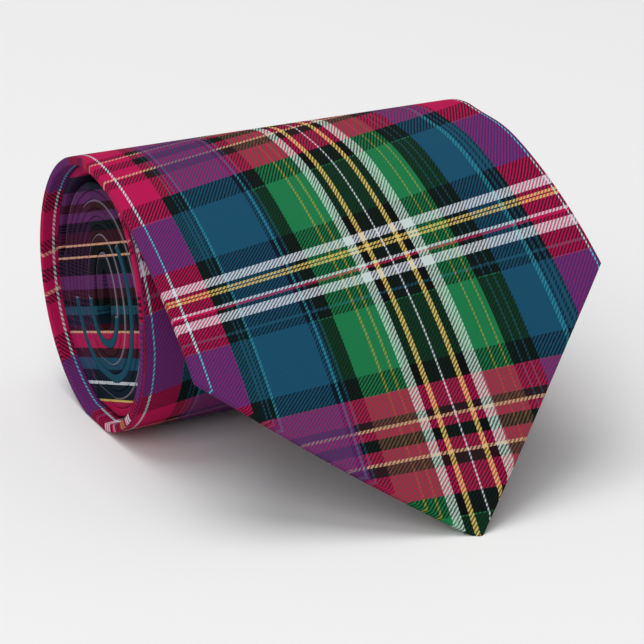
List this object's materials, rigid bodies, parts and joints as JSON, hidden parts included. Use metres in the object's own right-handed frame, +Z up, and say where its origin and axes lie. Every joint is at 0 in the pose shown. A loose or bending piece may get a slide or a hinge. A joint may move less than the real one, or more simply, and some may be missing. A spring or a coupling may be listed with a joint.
{
  "type": "necktie",
  "caption": "Plaid twill necktie folded at the neck and rolled up, its wide blade drawn over the roll and laid out in front, with lined points, keeper loop and interlining.",
  "frame": {"origin": "centre of the bounding box's footprint, on the table plane", "axes": "+Z up; +X along the roll's axis, from the end with the standing lip towards the plain end; -Y from the roll towards the blade's point"},
  "size_m": [0.1016, 0.1286, 0.0654],
  "materials": {
    "tartan_twill": "printed twill with a soft sheen",
    "lining_satin": "smooth satin",
    "interlining_wool": "brushed, matte",
    "sewing_thread": "twisted polyester thread",
    "label_satin": "blank woven satin"
  },
  "bodies": {
    "blade_tip": {"blade_shell_tip": "tartan_twill", "blade_interlining_tip": "interlining_wool", "blade_lining_tip": "lining_satin"},
    "front_blade": {"blade_shell_front": "tartan_twill", "blade_interlining_front": "interlining_wool", "blade_lining_front": "lining_satin", "blade_bar_tack": "sewing_thread", "slip_stitch_front": "sewing_thread"},
    "outer_wrap": {"blade_shell_wrap": "tartan_twill", "blade_interlining_wrap": "interlining_wool", "slip_stitch_wrap": "sewing_thread"},
    "roll": {"blade_shell_roll": "tartan_twill", "neck_shell": "tartan_twill", "tail_shell": "tartan_twill", "blade_interlining_roll": "interlining_wool", "tail_interlining": "interlining_wool", "tail_lining": "lining_satin", "tail_bar_tack": "sewing_thread", "slip_stitch_roll": "sewing_thread", "keeper_loop": "tartan_twill", "care_label": "label_satin"}
  },
  "joints": [
    {"name": "wrap_peel", "type": "hinge", "parent": "roll", "child": "outer_wrap", "pos_m": [0, 0.06383, 0.03764], "axis": [-1, 0, 0], "range_deg": [0, 45]},
    {"name": "blade_lift", "type": "hinge", "parent": "outer_wrap", "child": "front_blade", "pos_m": [0, 0.03137, 0.06544], "axis": [-1, 0, 0], "range_deg": [0, 90]},
    {"name": "tip_flex", "type": "hinge", "parent": "front_blade", "child": "blade_tip", "pos_m": [-0.00014, -0.03271, 0.03847], "axis": [-0.9903, 0.0961, -0.1007], "range_deg": [0, 60]}
  ]
}
